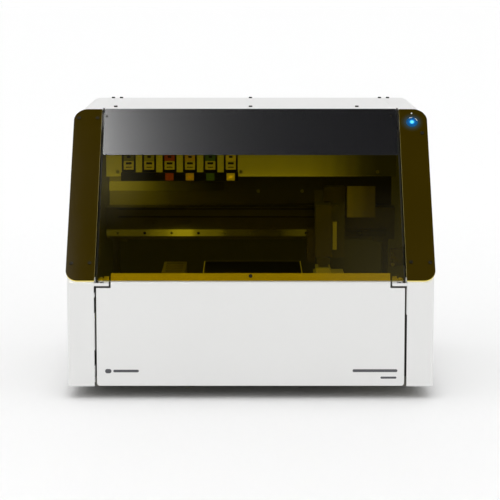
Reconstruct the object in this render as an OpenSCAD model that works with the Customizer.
// Desktop flatbed UV printer.
// Millimetres, +Z up, +X to the right as seen from the front, +Y towards the back.
// The origin is on the floor under the middle of the housing.

/* [Housing] */
// Width of the painted housing
body_w = 760; // [700:1:920]
// Depth of the housing
body_d = 670; // [640:1:810]
// Height of the housing, from its underside to its top
body_h = 557; // [545:1:680]
// Clear height under the housing
foot_h = 26; // [20:1:40]
// Height of the upright front face, below the slope
nose_h = 217; // [190:1:230]
// Depth that the slope takes, front to back
slope_d = 285; // [260:1:300]
// Thickness of the painted sheet steel
sheet = 2; // [1.5:0.1:2.5]
// Width of the columns on each side of the door
column_w = 56; // [50:1:66]
// Rounding of the long top edges
top_edge_r = 28; // [14:1:30]
// Rounding of the upright front edges
front_edge_r = 10; // [5:1:12]
// Flat taken off the sloping edges, under the tinted strips
slope_edge = 4; // [2:0.5:6]
// Depth of the flanges folded inwards behind the columns
return_d = 30; // [24:1:40]

/* [Door] */
// Gap between the door and each column
door_gap = 7; // [6:0.5:9]
// Thickness of the tinted acrylic
tint_t = 3; // [2:0.5:4]
// Height of the opaque band along the top of the window
band_h = 122; // [90:1:150]
// Thickness of the band plate
band_t = 1.5; // [1:0.1:2]
// Height of the flange that carries the bottom of the window
flange_h = 24; // [18:1:28]
// Side of the notches in the flange's corners
notch_w = 30; // [20:1:34]
// Radius of the hinge pins
hinge_pin_r = 3; // [2.5:0.1:3]
// Radius of the hinge knuckles
knuckle_r = 7; // [6:0.5:8]

/* [Tint panels] */
// Width of the tinted strip on each column
strip_w = 60; // [56:1:66]
// How far the strip stands out past the housing's side
strip_over = 3; // [0:0.5:4]
// Radius of the strip's top outer corner
strip_top_r = 30; // [10:1:32]
// Radius of the strip's bottom outer corner
strip_foot_r = 25; // [10:1:30]

/* [Button] */
// Radius of the power button
button_r = 9; // [7:0.5:10]
// Width of the glowing ring around the button
ring_w = 3; // [2:0.5:4]
// How far the button can be pressed
button_travel = 1.5; // [1:0.1:2]

/* [Print table] */
// Width of the print table
table_w = 217; // [190:1:240]
// Depth of the print table
table_d = 304; // [270:1:320]
// Thickness of the print table
table_t = 12; // [10:1:16]
// Height of the table's face above the floor
table_z = 230; // [225:1:234]
// Sideways place of the table's centre line
table_x = 4.5; // [-10:0.5:20]
// Radius of the table's guide rods
rod_r = 6; // [5:0.5:7]
// Radius of the lift screw
lift_screw_r = 4; // [3:0.5:5]
// Radius of the feed screw
feed_screw_r = 6; // [5:0.5:7]

/* [Print carriage] */
// Height of the bottom of the cross beam
beam_z = 286; // [280:1:296]
// Height of the cross beam
beam_h = 72; // [66:1:80]
// Depth of the cross beam
beam_d = 50; // [40:1:60]
// Height of the linear rails
rail_w = 13; // [12:0.5:15]
// Distance between the rails' screw holes
rail_pitch = 60; // [40:1:80]
// Radius of the belt on its pulleys
pulley_r = 8; // [7:0.5:9]
// Width of the carriage
carriage_w = 68; // [60:1:76]
// Distance from the parked carriage to the right column
park_gap = 115; // [105:1:130]

/* [Ink] */
// Number of ink cartridges
cartridge_count = 6; // [4:1:6]
// Distance between the cartridges
cartridge_pitch = 45; // [42:0.5:48]
// Width of a cartridge
cartridge_w = 27; // [24:0.5:29]
// Height of a cartridge
cartridge_h = 95; // [80:1:98]
// Depth of a cartridge
cartridge_d = 120; // [100:1:128]

/* [Fits] */
// Running clearance of shafts in their bores, on the radius
run_gap = 0.06; // [0.02:0.01:0.1]
// Clearance of sliding blocks on their rails
slide_gap = 0.4; // [0.3:0.05:0.6]

/* [Hidden] */
$fn = 48;
half_w = body_w / 2;
front_y = -body_d / 2;
back_y = body_d / 2;
pan_z = foot_h;
top_z = foot_h + body_h;
slope_z = foot_h + nose_h;
slope_h = top_z - slope_z;
slope_top_y = front_y + slope_d;
slope_len = sqrt(slope_d * slope_d + slope_h * slope_h);
slope_a = atan2(slope_h, slope_d);
column_x = half_w - column_w;
seam_x = column_x - 11;
cover_front_y = slope_top_y + knuckle_r - 0.5;
rear_sheet_y = back_y - 2 * sheet;
pan_rim_h = 20;
pan_top = pan_z + sheet;
wall_x = column_x + sheet;
chamber_x = column_x - 2;

door_x = column_x - door_gap;
door_top_s = slope_len - 2.6;
tint_foot_s = (tint_t + 0.2) * tan(slope_a);
band_s = door_top_s - band_h;
hinge_y = slope_top_y;
hinge_z = top_z - max(5, (hinge_pin_r + 0.2) / cos(slope_a));
arm_t = 3;
arm_x = door_x + 0.5;

ring_r = button_r + 0.3 + ring_w;
button_x = half_w - 30;
button_s = slope_len - 37.6;

beam_y = slope_top_y + 80;
rail_front = beam_y - 15;
rail_z = beam_z + 9;
plate_y = rail_front - 27;
plate_t = 6;
carriage_right = column_x - park_gap;
carriage_left = carriage_right - carriage_w;
lamp_w = 18;
head_z = table_z + 10;
belt_z = beam_z + 61;
belt_t = 1.2;
belt_y = rail_front - 3;
belt_w = 8;
motor_x = column_x - 79;
idler_x = -column_x + 24;
motor_side = 42;
block_x = carriage_left + 9;
block_w = 50;

flush_x = -column_x + 132;

table_back = beam_y + 48;
table_front = table_back - table_d;
table_cy = (table_front + table_back) / 2;
saddle_l = 160;
saddle_top = 128;
saddle_t = 8;
rod_dx = 82;
rod_dy = 60;
lift_x = table_x + 35;
feed_z = pan_top + 30;
feed_front = front_y + 35;
feed_back = back_y - 65;
feed_plate_t = 10;
feed_rail_dx = 60;
feed_rail_w = 15;
feed_rail_top = pan_top + feed_plate_t + 14;

cover_y = slope_top_y + 38;
rack_left = -column_x + 39;
rack_w = (cartridge_count - 1) * cartridge_pitch + cartridge_w + 6;
rack_right = rack_left + rack_w;
rack_floor_z = top_z - 142;
rack_back = cover_y + cartridge_d + 14;
cover_low_z = top_z - 151;

inner_back_y = slope_top_y + 195;
inner_low_z = beam_z + beam_h - 18;
rear_panel_screws = [18, 118];

corner_x = door_x + 6 - notch_w;
notch_low_z = slope_z - 10.5;
buffer_s = 8.5;
buffer_r = 6;
buffer_l = max(10, ((buffer_s - buffer_r) * sin(slope_a) + 4.5) / cos(slope_a));
sensor_y = front_y + 68;
sensor_h = 38;
sensor_z = slope_z + 84 * tan(slope_a) - 23.9 / cos(slope_a) - sensor_h;

inlet_x = column_x - 84;
inlet_z = pan_z + 66;
fan_x = -column_x + 74;
fan_z = top_z - 183;
fan_side = 92;

screw_head_r = 4;
screw_head_h = 1.5;
top_head_h = 2.8;
screw_r = 1.6;

// ---------- helpers ----------

// A polygon in Y and Z, drawn out along X
module extrude_x(x0, x1)
    translate([x0, 0, 0]) rotate([90, 0, 90]) linear_extrude(x1 - x0) children();

// A polygon in X and Z, drawn out along Y
module extrude_y(y0, y1)
    translate([0, y1, 0]) rotate([90, 0, 0]) linear_extrude(y1 - y0) children();

// A polygon in X and Y, drawn out along Z
module extrude_z(z0, z1)
    translate([0, 0, z0]) linear_extrude(z1 - z0) children();

// A box from its lowest to its highest corner
module block(low, high) translate(low) cube(high - low);

// The slope's own frame: X across, Y up the slope and Z out of it
module on_slope() translate([0, front_y, slope_z]) rotate([slope_a, 0, 0]) children();

module rod_y(x, y0, y1, z, r) translate([x, y1, z]) rotate([90, 0, 0]) cylinder(h = y1 - y0, r = r);

module rod_x(x0, x1, y, z, r) translate([x0, y, z]) rotate([0, 90, 0]) cylinder(h = x1 - x0, r = r);

module rod_z(x, y, z0, z1, r) translate([x, y, z0]) cylinder(h = z1 - z0, r = r);

module spandrel(r) difference() {
    translate([-1, -1]) square(r + 1);
    translate([r, r]) circle(r);
}

// A rectangle with corner radii given from the low left corner, anticlockwise
module panel(x0, y0, x1, y1, r) difference() {
    translate([x0, y0]) square([x1 - x0, y1 - y0]);
    if (r[0] > 0) translate([x0, y0]) spandrel(r[0]);
    if (r[1] > 0) translate([x1, y0]) mirror([1, 0]) spandrel(r[1]);
    if (r[2] > 0) translate([x1, y1]) mirror([1, 0]) mirror([0, 1]) spandrel(r[2]);
    if (r[3] > 0) translate([x0, y1]) mirror([0, 1]) spandrel(r[3]);
}

// A rectangle with its high right corner cut off flat
module chamfered(x0, y0, x1, y1, cut) polygon([[x0, y0], [x1, y0], [x1, y1 - cut], [x1 - cut, y1], [x0, y1]]);

// The housing's side view, moved inwards by inset
module side_view(inset, back, bottom) polygon([
    [front_y + inset, bottom],
    [back, bottom],
    [back, top_z - inset],
    [slope_top_y + inset * tan(slope_a / 2), top_z - inset],
    [front_y + inset, slope_z - inset * tan((90 - slope_a) / 2)]
]);

// The right side of the housing as a solid, with rounded edges
module side_outside() intersection() {
    extrude_x(seam_x, half_w) side_view(0, back_y, pan_z);
    extrude_y(front_y - 1, back_y + 1) panel(seam_x - 1, pan_z - 1, half_w, top_z, [0, 0, top_edge_r, 0]);
    extrude_z(pan_z - 1, top_z + 1) panel(seam_x - 1, front_y, half_w, back_y + 1, [0, front_edge_r, 0, 0]);
    on_slope() extrude_y(-slope_len, 2 * slope_len)
        chamfered(seam_x - 1, -2 * slope_len, half_w, 0, slope_edge);
}

// The room inside the right side, with flat corners behind the rounded edges
module side_inside() intersection() {
    extrude_x(wall_x, half_w - sheet) side_view(sheet, back_y + 4, pan_z - 4);
    extrude_y(front_y, back_y + 5)
        chamfered(wall_x - 1, pan_z - 5, half_w - sheet, top_z - sheet, top_edge_r * 0.6);
    extrude_z(pan_z - 5, top_z) mirror([0, 1])
        chamfered(wall_x - 1, -back_y - 5, half_w - sheet, -front_y - sheet, front_edge_r * 0.6);
    on_slope() extrude_y(-slope_len, 2 * slope_len)
        chamfered(wall_x - 1, -2 * slope_len, half_w - sheet, -sheet, slope_edge);
}

function tint_screw_places(side) = side > 0
    ? [[half_w - 9, slope_len - 66.6], [column_x + 9, 49], [half_w - 7, 48]]
    : [[half_w - 8, slope_len - 26.6], [column_x + 8, slope_len - 26.6], [half_w - 8, 46], [column_x + 10, 47]];

function top_screw_places() = [
    for (x = [-column_x + 1, -seam_x + 9, 0, seam_x - 9, column_x - 1]) [x, back_y - 12],
    for (x = [-seam_x + 15, 0, seam_x - 78]) [x, slope_top_y + 67]
];

function rear_screw_places() = [
    for (x = [-half_w + 14, 0, half_w - 14], z = [pan_z + 16, top_z - 36]) [x, z]
];

function foot_places() = [for (x = [-1, 1], y = [front_y + 150, back_y - 45]) [x * (half_w - 50), y]];

// ---------- housing ----------

module right_casing_shape() difference() {
    side_outside();
    side_inside();
    block([seam_x - 1, front_y - 1, pan_z - 1], [column_x, back_y + 1, top_z - sheet]);
    block([seam_x - 1, front_y - 1, pan_z - 1], [column_x, cover_front_y, top_z + 1]);
    extrude_x(column_x - 1, wall_x + 1) side_view(return_d, back_y + 1, pan_z - 1);
    // room for the base pan's rim and the rear cover
    block([column_x - 1, front_y + sheet, pan_z - 1], [wall_x + 1, front_y + return_d + 1, pan_z + pan_rim_h + 1]);
    block([column_x - 1, rear_sheet_y - 1, top_z - return_d - 1], [wall_x + 1, back_y + 1, top_z - sheet]);
    rod_x(column_x - 1, wall_x + 1, hinge_y, hinge_z, hinge_pin_r);
}

module left_casing() color("whitesmoke") mirror([1, 0, 0]) difference() {
    right_casing_shape();
    on_slope() for (p = tint_screw_places(-1)) rod_z(p[0], p[1], -sheet - 1, 1, screw_r);
    for (p = top_screw_places()) if (p[0] < -seam_x) rod_z(-p[0], p[1], top_z - sheet - 1, top_z + 1, screw_r);
}

module right_casing() color("whitesmoke") difference() {
    right_casing_shape();
    on_slope() rod_z(button_x, button_s, -sheet - 1, 1, button_r + 0.4);
    on_slope() for (p = tint_screw_places(1)) rod_z(p[0], p[1], -sheet - 1, 1, screw_r);
    for (p = top_screw_places()) if (p[0] > seam_x) rod_z(p[0], p[1], top_z - sheet - 1, top_z + 1, screw_r);
}

module top_cover() color("whitesmoke") difference() {
    union() {
        block([-seam_x + 0.4, cover_front_y, top_z - sheet], [seam_x - 0.4, back_y, top_z]);
        block([-seam_x + 0.4, cover_front_y, top_z - 20], [seam_x - 0.4, cover_front_y + sheet, top_z]);
        block([-seam_x + 0.4, back_y - sheet, top_z - 24], [seam_x - 0.4, back_y, top_z]);
    }
    for (p = top_screw_places()) if (abs(p[0]) < seam_x) rod_z(p[0], p[1], top_z - sheet - 1, top_z + 1, screw_r);
}

module vent_rows(x0, z0, columns, rows) for (i = [0 : columns - 1], j = [0 : rows - 1])
    translate([x0 + i * 26, 0, z0 + j * 9]) block([0, rear_sheet_y - 1, 0], [20, back_y, 3]);

module rear_cover() color("gainsboro") difference() {
    extrude_y(rear_sheet_y, rear_sheet_y + sheet)
        panel(-half_w + sheet, pan_z + sheet, half_w - sheet, top_z - sheet, [2, 2, top_edge_r + sheet, top_edge_r + sheet]);
    vent_rows(80, top_z - 140, 8, 8);
    vent_rows(-290, pan_z + 60, 6, 6);
    for (r = [14, 24, 34]) difference() {
        rod_y(fan_x, rear_sheet_y - 1, back_y, fan_z, r + 6);
        rod_y(fan_x, rear_sheet_y - 1, back_y, fan_z, r);
        for (a = [45, 135]) translate([fan_x, back_y, fan_z]) rotate([0, a, 0])
            block([-fan_side, -6, -2.5], [fan_side, 6, 2.5]);
    }
    block([inlet_x - 16, rear_sheet_y - 1, inlet_z - 36], [inlet_x + 16, back_y, inlet_z + 24]);
    block([inlet_x - 110, rear_sheet_y - 1, inlet_z - 12], [inlet_x - 50, back_y, inlet_z + 12]);
    for (p = rear_screw_places()) rod_y(p[0], rear_sheet_y - 1, back_y, p[1], screw_r);
}

module base_pan() color("silver") difference() {
    extrude_z(pan_z, pan_z + pan_rim_h)
        panel(-half_w + sheet, front_y + 2 * sheet, half_w - sheet, rear_sheet_y, [8, 8, 2, 2]);
    extrude_z(pan_top, pan_z + pan_rim_h + 1)
        panel(-half_w + 2 * sheet, front_y + 3 * sheet, half_w - 2 * sheet, rear_sheet_y - sheet, [6, 6, 1, 1]);
    for (p = foot_places()) rod_z(p[0], p[1], pan_z - 1, pan_top + 1, 2.5);
    for (i = [0 : 6], side = [-1, 1])
        block([side * 220 - 40, -90 + i * 14, pan_z - 1], [side * 220 + 40, -85 + i * 14, pan_top + 1]);
}

module feet() color("dimgray") for (p = foot_places()) translate([p[0], p[1], 0]) difference() {
    union() {
        cylinder(h = 4, r1 = 20, r2 = 22);
        rod_z(0, 0, 4, foot_h, 22);
        rod_z(0, 0, foot_h, foot_h + 1.5, 2.5);
    }
    rod_z(0, 0, -1, 6, 8);
}

module inner_wall_shape() extrude_x(wall_x, wall_x + sheet) side_view(14, back_y - 10, pan_z + 34);

module inner_side_walls() color("whitesmoke") {
    inner_wall_shape();
    mirror([1, 0, 0]) inner_wall_shape();
}

module screw_z(x, y, z, length, head_h = screw_head_h) {
    rod_z(x, y, z, z + head_h, screw_head_r);
    rod_z(x, y, z - length, z, screw_r);
}

module screw_y(x, y, z, length) {
    rod_y(x, y - screw_head_h, y, z, screw_head_r);
    rod_y(x, y, y + length, z, screw_r);
}

// Round-headed screws of the tint panels, the top and the back
module outer_screws() color("silver") {
    on_slope() for (side = [-1, 1], p = tint_screw_places(side)) screw_z(side * p[0], p[1], tint_t, tint_t + sheet);
    for (p = top_screw_places()) screw_z(p[0], p[1], top_z, sheet, top_head_h);
    for (p = rear_screw_places()) mirror([0, 1, 0]) screw_y(p[0], -rear_sheet_y - sheet, p[1], sheet);
}

module tint_strip(side) on_slope() difference() {
    extrude_z(0, tint_t) panel(column_x - 1, tint_foot_s, column_x - 1 + strip_w, door_top_s, [2, strip_foot_r, strip_top_r, 2]);
    for (p = tint_screw_places(side)) rod_z(p[0], p[1], -1, tint_t + 1, screw_r);
    if (side > 0) rod_z(button_x, button_s, -1, tint_t + 1, ring_r);
}

module left_tint_panel() color([0.25, 0.2, 0, 0.8]) mirror([1, 0, 0]) tint_strip(-1);

module right_tint_panel() color([0.25, 0.2, 0, 0.8]) tint_strip(1);

module led_ring() color("deepskyblue") on_slope() difference() {
    rod_z(button_x, button_s, 0, tint_t + 1, ring_r);
    rod_z(button_x, button_s, -1, tint_t + 2, button_r + 0.4);
}

module power_button() color("white") on_slope() difference() {
    rod_z(button_x, button_s, -8, tint_t + 1.5, button_r);
    translate([button_x, button_s, tint_t + 40]) sphere(r = 39.2);
}

module hinge_pins() color("silver") for (side = [0, 1]) mirror([side, 0, 0]) {
    rod_x(arm_x - 1, wall_x, hinge_y, hinge_z, hinge_pin_r);
}

// Brackets in the notches of the door's lower corners, with a buffer that the window closes onto
module door_stops() color("gainsboro") for (side = [0, 1]) mirror([side, 0, 0]) {
    block([corner_x, front_y + 1, notch_low_z + 4], [column_x, front_y + 4, slope_z - 0.5]);
    block([corner_x, front_y + 4, notch_low_z + 4], [column_x, front_y + 24, notch_low_z + 7]);
    block([column_x - 3, front_y + 14, notch_low_z + 4], [column_x, front_y + 26, slope_z + 10]);
    on_slope() block([corner_x, 1.5, -12], [corner_x + 10, 17, -1]);
    on_slope() rod_z(column_x - 15, buffer_s, -buffer_l, -0.5, buffer_r);
}

// A stepped bracket that holds the door's sensor
module door_sensor() color("silver") difference() {
    union() {
        block([column_x - 33, sensor_y, sensor_z], [column_x - 18, sensor_y + 3, sensor_z + sensor_h]);
        block([column_x - 21, sensor_y + 3, sensor_z], [column_x - 18, sensor_y + 16, sensor_z + sensor_h]);
        block([column_x - 18, sensor_y + 13, sensor_z], [column_x, sensor_y + 16, sensor_z + sensor_h]);
        block([column_x - 3, sensor_y + 16, sensor_z], [column_x, sensor_y + 28, sensor_z + sensor_h]);
        block([column_x - 18, sensor_y + 8, sensor_z + 5], [column_x - 5, sensor_y + 13, sensor_z + sensor_h - 5]);
    }
    for (z = [12, 27]) rod_y(column_x - 27, sensor_y - 1, sensor_y + 4, sensor_z + z, 2.5);
    rod_y(column_x - 26, sensor_y - 1, sensor_y + 4, sensor_z + 4, screw_r);
}

// ---------- door ----------

module door_window() color([0.45, 0.33, 0, 0.5]) on_slope() difference() {
    extrude_z(0, tint_t) panel(-door_x, tint_foot_s, door_x, door_top_s, [3, 3, 4, 4]);
    rod_z(0, 15, -1, tint_t + 1, screw_r);
}

module door_band() color([0.12, 0.12, 0.13]) on_slope()
    extrude_z(tint_t, tint_t + band_t) panel(-door_x, band_s, door_x, door_top_s, [2, 2, 4, 4]);

module door_lower_panel() color("white") difference() {
    union() {
        extrude_y(front_y, front_y + sheet) panel(-door_x - 2, pan_z + 1, door_x + 2, slope_z, [6, 6, 0, 0]);
        on_slope() extrude_z(-sheet, 0) panel(-door_x, -0.7, door_x, flange_h, [0, 0, 0, 0]);
        for (side = [0, 1]) mirror([side, 0, 0])
            block([door_x, front_y, pan_z + 34], [door_x + 2, front_y + 14, slope_z - 20]);
        on_slope() rod_z(0, 15, 0, tint_t, screw_r);
        on_slope() rod_z(0, 15, tint_t, tint_t + screw_head_h, screw_head_r);
    }
    for (side = [0, 1]) mirror([side, 0, 0])
        block([door_x + 2 - notch_w, front_y - 1, notch_low_z], [door_x + 3, front_y + 40, slope_z + 40]);
}

// The arms that join the window to the hinge pins
module door_hinge_arms() color("silver") for (side = [0, 1]) mirror([side, 0, 0]) difference() {
    union() {
        rod_x(arm_x, arm_x + arm_t, hinge_y, hinge_z, knuckle_r);
        on_slope() block([arm_x, door_top_s - 46, -9], [arm_x + arm_t, door_top_s - 4, 0]);
        on_slope() block([arm_x - 30, door_top_s - 46, -2.5], [arm_x + arm_t, door_top_s - 14, 0]);
    }
    rod_x(arm_x - 1, arm_x + arm_t + 1, hinge_y, hinge_z, hinge_pin_r + run_gap);
}

// ---------- ink bay ----------

module inner_front_cover() color("white") difference() {
    union() {
        block([-chamber_x + 4, cover_y - sheet, cover_low_z], [chamber_x - 1, cover_y, top_z - sheet]);
        block([-chamber_x + 4, cover_y - 8, cover_low_z], [rack_left - 4, cover_y, cover_low_z + sheet]);
        block([rack_right + 4, cover_y - 8, cover_low_z], [chamber_x - 1, cover_y, cover_low_z + sheet]);
    }
    block([rack_left, cover_y - 20, cover_low_z - 1], [rack_right, cover_y + 1, rack_floor_z]);
    for (i = [0 : cartridge_count - 1]) translate([rack_left + 3 + i * cartridge_pitch, 0, 0])
        block([-2, cover_y - 20, rack_floor_z - 1], [cartridge_w + 2, cover_y + 1, rack_floor_z + cartridge_h + 8]);
    for (x = [rack_left - 8, rack_right + 6, chamber_x - 42])
        rod_y(x, cover_y - sheet - 1, cover_y + 1, cover_low_z + 10, screw_r);
}

module ink_rack() color([0.16, 0.16, 0.15]) {
    block([rack_left, cover_y, rack_floor_z - 4], [rack_right, rack_back, rack_floor_z]);
    block([rack_left, cover_y - 14, rack_floor_z - 18], [rack_right, cover_y, rack_floor_z]);
    block([rack_left, rack_back - 4, rack_floor_z], [rack_right, rack_back, rack_floor_z + cartridge_h]);
    for (x = [rack_left, rack_right - 2])
        block([x, cover_y + 12, rack_floor_z], [x + 2, rack_back - 4, rack_floor_z + 60]);
    for (i = [1 : cartridge_count - 1]) translate([rack_left + 3 + i * cartridge_pitch, 0, 0])
        block([(cartridge_w - cartridge_pitch) / 2 - 1.5, cover_y + 12, rack_floor_z],
              [(cartridge_w - cartridge_pitch) / 2 + 1.5, rack_back - 4, rack_floor_z + 60]);
}

module cartridge(i) {
    x0 = rack_left + 3 + i * cartridge_pitch;
    z0 = rack_floor_z + 0.5;
    difference() {
        union() {
            block([x0, cover_y + 4, z0], [x0 + cartridge_w, cover_y + cartridge_d, z0 + cartridge_h - 4]);
            extrude_x(x0 + 1, x0 + cartridge_w - 1)
                panel(cover_y, z0 + 2, cover_y + 5, z0 + cartridge_h - 6, [2, 0, 0, 2]);
        }
        rod_x(x0 - 1, x0 + cartridge_w + 1, cover_y, z0 + cartridge_h - 22, 7);
        block([x0 + 6, cover_y + cartridge_d - 30, z0 + cartridge_h - 8],
              [x0 + cartridge_w - 6, cover_y + cartridge_d - 10, z0 + cartridge_h]);
    }
}

module cartridge_1() color([0.1, 0.1, 0.1]) cartridge(0);
module cartridge_2() color([0.1, 0.1, 0.1]) cartridge(1);
module cartridge_3() color([0.1, 0.1, 0.1]) cartridge(2);
module cartridge_4() color([0.1, 0.1, 0.1]) cartridge(3);
module cartridge_5() color([0.1, 0.1, 0.1]) cartridge(4);
module cartridge_6() color([0.1, 0.1, 0.1]) cartridge(5);

// ---------- chamber ----------

module rear_inner_panels() color([0.2, 0.2, 0.2]) difference() {
    for (side = [0, 1]) mirror([side, 0, 0]) {
        block([0.5, inner_back_y, inner_low_z], [chamber_x, inner_back_y + sheet, top_z - sheet]);
        block([0.5, inner_back_y, inner_low_z], [chamber_x, inner_back_y + 14, inner_low_z + sheet]);
    }
    for (x = rear_panel_screws) rod_y(x, inner_back_y - 1, inner_back_y + sheet + 1, inner_low_z + 42, screw_r);
}

module chamber_light() color("ivory")
    block([-chamber_x, inner_back_y - 9, inner_low_z + 44], [-60, inner_back_y, inner_low_z + 64]);

module inner_screws() color("silver") {
    for (x = [rack_left - 8, rack_right + 6, chamber_x - 42]) screw_y(x, cover_y - sheet, cover_low_z + 10, sheet);
    for (x = rear_panel_screws) screw_y(x, inner_back_y, inner_low_z + 42, sheet);
    screw_y(column_x - 26, sensor_y, sensor_z + 4, 3);
}

module beam_upright() difference() {
    union() {
        block([chamber_x - 26, beam_y + 6, pan_top], [chamber_x - 14, beam_y + beam_d - 6, beam_z]);
        block([chamber_x - 46, beam_y + 6, pan_top], [chamber_x - 14, beam_y + beam_d - 6, pan_top + 6]);
        block([chamber_x - 46, beam_y + 6, beam_z - 6], [chamber_x - 14, beam_y + beam_d - 6, beam_z]);
    }
    for (z = [pan_top + 60, pan_top + 140])
        rod_x(chamber_x - 30, chamber_x, beam_y + beam_d / 2, z, 10);
}

module beam_uprights() color("silver") {
    beam_upright();
    mirror([1, 0, 0]) beam_upright();
}

module x_beam() color([0.35, 0.35, 0.35]) difference() {
    block([-chamber_x, beam_y, beam_z], [chamber_x, beam_y + beam_d, beam_z + beam_h]);
    block([-chamber_x - 1, beam_y + 4, beam_z + 4], [chamber_x + 1, beam_y + beam_d - 4, beam_z + beam_h - 4]);
    rod_y(idler_x, beam_y - 1, beam_y + 5, belt_z, 3 + run_gap);
    rod_y(motor_x, beam_y - 1, beam_y + beam_d + 1, belt_z, 4);
}

// A rail along X with counterbored screw holes
module x_rail() color("silver") difference() {
    block([-chamber_x + 1, rail_front, rail_z], [chamber_x - 20, beam_y, rail_z + rail_w]);
    for (x = [-chamber_x + 26 : rail_pitch : chamber_x - 40]) {
        rod_y(x, rail_front - 1, beam_y + 1, rail_z + rail_w / 2, 2);
        rod_y(x, rail_front - 1, rail_front + 5, rail_z + rail_w / 2, 3.5);
    }
}

module pulley(x) {
    rod_y(x, belt_y, belt_y + belt_w, belt_z, pulley_r);
    rod_y(x, belt_y - 1.5, belt_y - 0.3, belt_z, pulley_r + 2);
    rod_y(x, belt_y - 1.5, belt_y, belt_z, pulley_r - 1);
    rod_y(x, belt_y + belt_w + 0.3, belt_y + belt_w + 2, belt_z, pulley_r + 2);
    rod_y(x, belt_y + belt_w, belt_y + belt_w + 2, belt_z, pulley_r - 1);
}

module x_idler_pulley() color("silver") {
    pulley(idler_x);
    rod_y(idler_x, belt_y, beam_y + 12, belt_z, 3);
}

module x_motor_pulley() color("silver") {
    pulley(motor_x);
    rod_y(motor_x, belt_y, beam_y + beam_d + 12, belt_z, 2.5);
}

module x_motor() color([0.25, 0.25, 0.25]) difference() {
    union() {
        block([motor_x - motor_side / 2, beam_y + beam_d, belt_z - motor_side / 2],
              [motor_x + motor_side / 2, beam_y + beam_d + 38, belt_z + motor_side / 2]);
        block([motor_x - 12, beam_y + beam_d + 38, belt_z - 10], [motor_x + 12, beam_y + beam_d + 42, belt_z + 10]);
    }
    rod_y(motor_x, beam_y + beam_d - 1, beam_y + beam_d + 14, belt_z, 2.5 + run_gap);
}

module belt_outline(r) {
    translate([idler_x, belt_z]) circle(r);
    translate([motor_x, belt_z]) circle(r);
    translate([idler_x, belt_z - r]) square([motor_x - idler_x, 2 * r]);
}

module x_belt() color([0.1, 0.1, 0.1]) extrude_y(belt_y + 0.2, belt_y + belt_w - 0.2) difference() {
    belt_outline(pulley_r + 0.3 + belt_t);
    belt_outline(pulley_r + 0.3);
}

// A bent plate over the motor's pulley, on top of the beam
module pulley_cover() color("white") {
    block([motor_x - 31, rail_front - 10, belt_z - 9], [motor_x + 32, rail_front - 8, beam_z + beam_h + 50]);
    block([motor_x - 31, rail_front - 8, beam_z + beam_h], [motor_x + 32, beam_y + 30, beam_z + beam_h + 2]);
    for (x = [motor_x - 31, motor_x + 30])
        extrude_x(x, x + 2) polygon([[rail_front - 8, beam_z + beam_h + 2], [beam_y + 25, beam_z + beam_h + 2],
                                     [rail_front - 8, beam_z + beam_h + 40]]);
}

module cable_clips() color([0.2, 0.2, 0.2]) for (x = [idler_x + 76, idler_x + 151]) difference() {
    extrude_y(beam_y - 8, beam_y) panel(x - 16, beam_z + 34, x + 16, beam_z + 45, [5, 5, 5, 5]);
    rod_y(x + 8, beam_y - 9, beam_y - 4, beam_z + 39.5, 3);
}

// The box that the print heads flush into, on the left of the table
module flush_box() color([0.6, 0.6, 0.5]) difference() {
    block([flush_x, plate_y - 133, pan_top], [flush_x + 50, plate_y + 32, head_z - 3]);
    block([flush_x + 2, plate_y - 131, pan_top + 2], [flush_x + 48, plate_y + 30, head_z - 5]);
    for (i = [0 : 3]) block([flush_x + 6, plate_y - 125 + i * 38, head_z - 6], [flush_x + 44, plate_y - 95 + i * 38, head_z]);
}

module y_frame() color("silver") difference() {
    union() {
        block([table_x - 75, feed_front, pan_top], [table_x + 75, feed_back, pan_top + feed_plate_t]);
        for (y = [feed_front, feed_back - 15])
            block([table_x - 22, y, pan_top + feed_plate_t], [table_x + 22, y + 15, feed_z + 14]);
    }
    rod_y(table_x, feed_front + 4, feed_front + 16, feed_z, feed_screw_r + run_gap);
    rod_y(table_x, feed_back - 16, feed_back + 1, feed_z, feed_screw_r + run_gap);
}

module y_rail(x) difference() {
    block([x - feed_rail_w / 2, feed_front + 16, pan_top + feed_plate_t],
          [x + feed_rail_w / 2, feed_back - 16, feed_rail_top]);
    for (y = [feed_front + 50 : 2 * rail_pitch : feed_back - 40]) {
        rod_z(x, y, pan_top + feed_plate_t - 1, feed_rail_top + 1, 2.2);
        rod_z(x, y, feed_rail_top - 5, feed_rail_top + 1, 4);
    }
}

module y_rails() color("silver") {
    y_rail(table_x - feed_rail_dx);
    y_rail(table_x + feed_rail_dx);
}

module y_screw() color("silver") {
    rod_y(table_x, feed_front + 5, feed_back + 10, feed_z, feed_screw_r);
    for (y = [feed_front + 17, feed_back - 22]) rod_y(table_x, y, y + 5, feed_z, feed_screw_r + 3);
}

module y_motor() color([0.25, 0.25, 0.25]) difference() {
    block([table_x - motor_side / 2, feed_back, feed_z - motor_side / 2],
          [table_x + motor_side / 2, feed_back + 42, feed_z + motor_side / 2]);
    rod_y(table_x, feed_back - 1, feed_back + 12, feed_z, feed_screw_r + run_gap);
}

// ---------- table ----------

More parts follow.
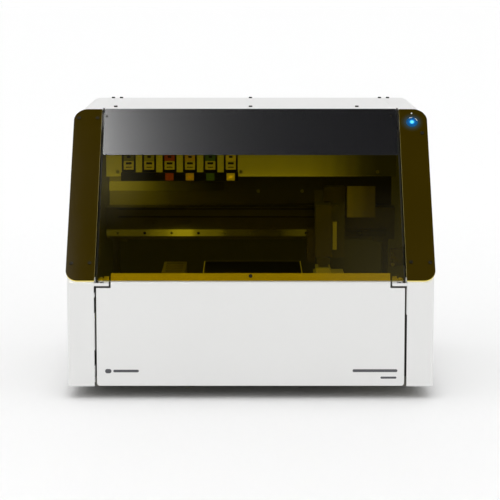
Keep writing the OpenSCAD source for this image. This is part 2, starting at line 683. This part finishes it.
module y_saddle() color([0.45, 0.46, 0.47]) difference() {
    union() {
        block([table_x - 95, table_cy - saddle_l / 2, saddle_top - saddle_t],
              [table_x + 95, table_cy + saddle_l / 2, saddle_top]);
        for (side = [-1, 1]) {
            block([table_x + side * feed_rail_dx - 6, table_cy - saddle_l / 2, feed_rail_top + slide_gap],
                  [table_x + side * feed_rail_dx + 6, table_cy + saddle_l / 2, saddle_top - saddle_t]);
            block([table_x + side * feed_rail_dx - 14, table_cy - 50, feed_rail_top - 9],
                  [table_x + side * feed_rail_dx + 14, table_cy + 50, feed_rail_top + 10]);
            for (y = [-rod_dy, rod_dy]) rod_z(table_x + side * rod_dx, table_cy + y, saddle_top - 16, saddle_top, 11);
        }
        block([table_x - feed_rail_dx, table_cy - 30, feed_z + 14], [table_x + feed_rail_dx, table_cy + 30, feed_z + 20]);
        block([table_x - 14, table_cy - 30, feed_z - 12], [table_x + 14, table_cy + 30, feed_z + 14]);
    }
    for (side = [-1, 1]) {
        block([table_x + side * feed_rail_dx - feed_rail_w / 2 - slide_gap, table_cy - 51, feed_rail_top - 10],
              [table_x + side * feed_rail_dx + feed_rail_w / 2 + slide_gap, table_cy + 51, feed_rail_top + slide_gap]);
        for (y = [-rod_dy, rod_dy])
            rod_z(table_x + side * rod_dx, table_cy + y, saddle_top - 17, saddle_top + 1, rod_r + run_gap);
    }
    rod_y(table_x, table_cy - 31, table_cy + 31, feed_z, feed_screw_r + slide_gap);
    rod_z(lift_x, table_cy, feed_z, saddle_top + 1, lift_screw_r + 2);
}

module z_motor() color([0.2, 0.2, 0.2]) difference() {
    block([lift_x - 13, table_cy - 13, saddle_top - saddle_t - 34], [lift_x + 13, table_cy + 13, saddle_top - saddle_t]);
    rod_z(lift_x, table_cy, 0, saddle_top, lift_screw_r + run_gap);
}

module table_plate() color("darkgray") difference() {
    block([table_x - table_w / 2, table_front, table_z - table_t], [table_x + table_w / 2, table_back, table_z]);
    block([table_x - table_w / 2 + 8, table_front + 8, table_z - 1.2],
          [table_x + table_w / 2 - 8, table_back - 8, table_z + 1]);
    for (x = [-1, 1], y = [-1, 1])
        rod_z(table_x + x * (table_w / 2 - 16), table_cy + y * (table_d / 2 - 16), table_z - 6, table_z + 1, 3);
}

module table_rods() color("silver") {
    for (x = [-rod_dx, rod_dx], y = [-rod_dy, rod_dy])
        rod_z(table_x + x, table_cy + y, saddle_top - 22, table_z - table_t, rod_r);
    rod_z(lift_x, table_cy, saddle_top - 20, table_z - table_t, lift_screw_r);
}

// ---------- carriage ----------

module carriage_plate() color([0.3, 0.3, 0.3]) {
    block([carriage_left, plate_y, head_z + 10], [carriage_right, plate_y + plate_t, head_z + 160]);
    // belt clamp around the lower run of the belt
    difference() {
        block([carriage_left + 24, plate_y + plate_t, belt_z - 14], [carriage_left + 44, belt_y + belt_w + 2, belt_z - 4]);
        block([carriage_left + 23, belt_y - slide_gap, belt_z - pulley_r - 0.3 - belt_t - slide_gap],
              [carriage_left + 45, belt_y + belt_w + 3, belt_z - pulley_r - 0.3 + slide_gap]);
    }
    block([carriage_right - 28, plate_y - 28, head_z + 32], [carriage_right - 19, plate_y, head_z + 94]);
    rod_y(carriage_right - 22, plate_y - 22, plate_y, head_z + 122, 8);
}

module x_rail_block() color("silver") difference() {
    block([block_x, plate_y + plate_t, rail_z - 8], [block_x + block_w, rail_front + 9, rail_z + rail_w + 8]);
    block([block_x - 1, rail_front - slide_gap, rail_z - slide_gap],
          [block_x + block_w + 1, rail_front + 10, rail_z + rail_w + slide_gap]);
}

module carriage_cover() color([0.22, 0.22, 0.2]) difference() {
    extrude_y(plate_y - 84, plate_y)
        panel(carriage_left, head_z + 22, carriage_left + 36, head_z + 136, [0, 0, 4, 4]);
    extrude_y(plate_y - 82, plate_y + 1)
        panel(carriage_left + 2, head_z + 21, carriage_left + 34, head_z + 134, [0, 0, 2, 2]);
}

module print_heads() color([0.5, 0.5, 0.5]) for (y = [plate_y - 78, plate_y - 40]) {
    block([carriage_left + 4, y, head_z + 8], [carriage_left + 32, y + 34, head_z + 70]);
    block([carriage_left + 7, y + 4, head_z], [carriage_left + 29, y + 30, head_z + 8]);
}

module uv_lamp() color([0.15, 0.15, 0.16]) {
    difference() {
        block([carriage_left - lamp_w, plate_y - 68, head_z + 10], [carriage_left, plate_y - 2, head_z + 66]);
        block([carriage_left - lamp_w + 4, plate_y - 62, head_z + 9], [carriage_left - 4, plate_y - 8, head_z + 13]);
    }
    for (i = [0 : 5]) block([carriage_left - lamp_w + 1, plate_y - 66 + i * 11, head_z + 66],
                            [carriage_left - 1, plate_y - 62 + i * 11, head_z + 82]);
}

module ink_dampers() color([0.3, 0.3, 0.25])
    block([carriage_right - 48, plate_y - 34, head_z + 138], [carriage_right - 2, plate_y, head_z + 172]);

// ---------- service station ----------

module service_base() color([0.3, 0.3, 0.3]) difference() {
    block([carriage_left - 10, plate_y - 92, pan_top], [carriage_right + 8, plate_y + 22, head_z - 38]);
    block([carriage_left - 6, plate_y - 88, pan_top + 4], [carriage_right + 4, plate_y + 18, head_z - 37]);
}

module cap_lift() color([0.12, 0.12, 0.12]) {
    block([carriage_left - 2, plate_y - 84, head_z - 60], [carriage_right - 4, plate_y + 8, head_z - 16]);
    for (y = [plate_y - 78, plate_y - 40])
        block([carriage_left + 2, y, head_z - 16], [carriage_left + 34, y + 34, head_z - 3]);
}

// ---------- electronics ----------

module main_board() color("darkgreen") {
    block([30, inner_back_y + 6, top_z - 213], [250, inner_back_y + 8, top_z - 43]);
    for (x = [40, 240], z = [top_z - 203, top_z - 53]) rod_y(x, inner_back_y + sheet, inner_back_y + 6, z, 3);
    for (i = [0 : 4]) block([45 + i * 40, inner_back_y + 8, top_z - 190], [70 + i * 40, inner_back_y + 20, top_z - 175]);
    block([90, inner_back_y + 8, top_z - 130], [140, inner_back_y + 12, top_z - 80]);
}

module power_supply() color("silver") difference() {
    block([-chamber_x + 20, back_y - 170, pan_top], [-chamber_x + 120, back_y - 20, pan_top + 50]);
    for (i = [0 : 9]) block([-chamber_x + 30, back_y - 160 + i * 12, pan_top + 48],
                            [-chamber_x + 110, back_y - 155 + i * 12, pan_top + 51]);
}

module fan_frame() color([0.12, 0.12, 0.12]) difference() {
    block([fan_x - fan_side / 2, rear_sheet_y - 25, fan_z - fan_side / 2],
          [fan_x + fan_side / 2, rear_sheet_y, fan_z + fan_side / 2]);
    difference() {
        rod_y(fan_x, rear_sheet_y - 26, rear_sheet_y + 1, fan_z, fan_side / 2 - 2.5);
        rod_y(fan_x, rear_sheet_y - 4, rear_sheet_y + 2, fan_z, 16);
        for (a = [0, 60, 120]) translate([fan_x, rear_sheet_y - 4, fan_z]) rotate([0, a, 0])
            block([-fan_side, 0, -2], [fan_side, 4, 2]);
    }
}

module fan_impeller() color([0.1, 0.1, 0.1]) {
    rod_y(fan_x, rear_sheet_y - 24, rear_sheet_y - 5, fan_z, 17);
    for (a = [0 : 360 / 7 : 359]) translate([fan_x, rear_sheet_y - 14, fan_z]) rotate([0, a, 0]) rotate([0, 0, 35])
        block([-1.2, -8, 14], [1.2, 8, fan_side / 2 - 5]);
}

module power_inlet() color([0.1, 0.1, 0.1]) difference() {
    union() {
        block([inlet_x - 16, rear_sheet_y - 28, inlet_z - 36], [inlet_x + 16, rear_sheet_y + sheet, inlet_z + 24]);
        block([inlet_x - 20, rear_sheet_y + sheet, inlet_z - 40], [inlet_x + 20, back_y, inlet_z + 28]);
    }
    block([inlet_x - 13, rear_sheet_y - 12, inlet_z - 32], [inlet_x + 13, back_y + 1, inlet_z - 12]);
    block([inlet_x - 11, rear_sheet_y - 18, inlet_z - 5], [inlet_x + 11, back_y + 1, inlet_z + 19]);
    rod_x(inlet_x - 14, inlet_x + 14, rear_sheet_y - 5, inlet_z + 7, 2 + run_gap);
}

module power_switch() color([0.1, 0.1, 0.1]) {
    rod_x(inlet_x - 13.5, inlet_x + 13.5, rear_sheet_y - 5, inlet_z + 7, 2);
    intersection() {
        translate([0, rear_sheet_y - 5, inlet_z + 7]) rotate([-8, 0, 0])
            block([inlet_x - 10, -3, -10], [inlet_x + 10, 5, 10]);
        rod_x(inlet_x - 10, inlet_x + 10, rear_sheet_y - 5, inlet_z + 7, 10);
    }
}

module data_ports() color("silver") difference() {
    block([inlet_x - 109, rear_sheet_y - 16, inlet_z - 11], [inlet_x - 51, rear_sheet_y + sheet, inlet_z + 11]);
    block([inlet_x - 104, rear_sheet_y - 10, inlet_z - 7], [inlet_x - 88, back_y, inlet_z + 7]);
    block([inlet_x - 80, rear_sheet_y - 10, inlet_z - 6], [inlet_x - 68, back_y, inlet_z + 6]);
}

base_pan();
left_casing();
right_casing();
top_cover();
rear_cover();
inner_side_walls();
rear_inner_panels();
left_tint_panel();
right_tint_panel();
outer_screws();
hinge_pins();
inner_front_cover();
inner_screws();
ink_rack();
x_beam();
x_rail();
beam_uprights();
x_motor();
x_belt();
pulley_cover();
cable_clips();
flush_box();
y_frame();
y_rails();
y_motor();
service_base();
main_board();
power_supply();
fan_frame();
power_inlet();
data_ports();
door_sensor();
door_stops();
feet();
led_ring();
chamber_light();
x_motor_pulley();
x_idler_pulley();
y_screw();
cap_lift();
fan_impeller();
power_switch();
power_button();
door_window();
door_band();
door_lower_panel();
door_hinge_arms();
carriage_plate();
carriage_cover();
print_heads();
uv_lamp();
x_rail_block();
ink_dampers();
y_saddle();
z_motor();
table_plate();
table_rods();
cartridge_1();
cartridge_2();
cartridge_3();
cartridge_4();
cartridge_5();
cartridge_6();
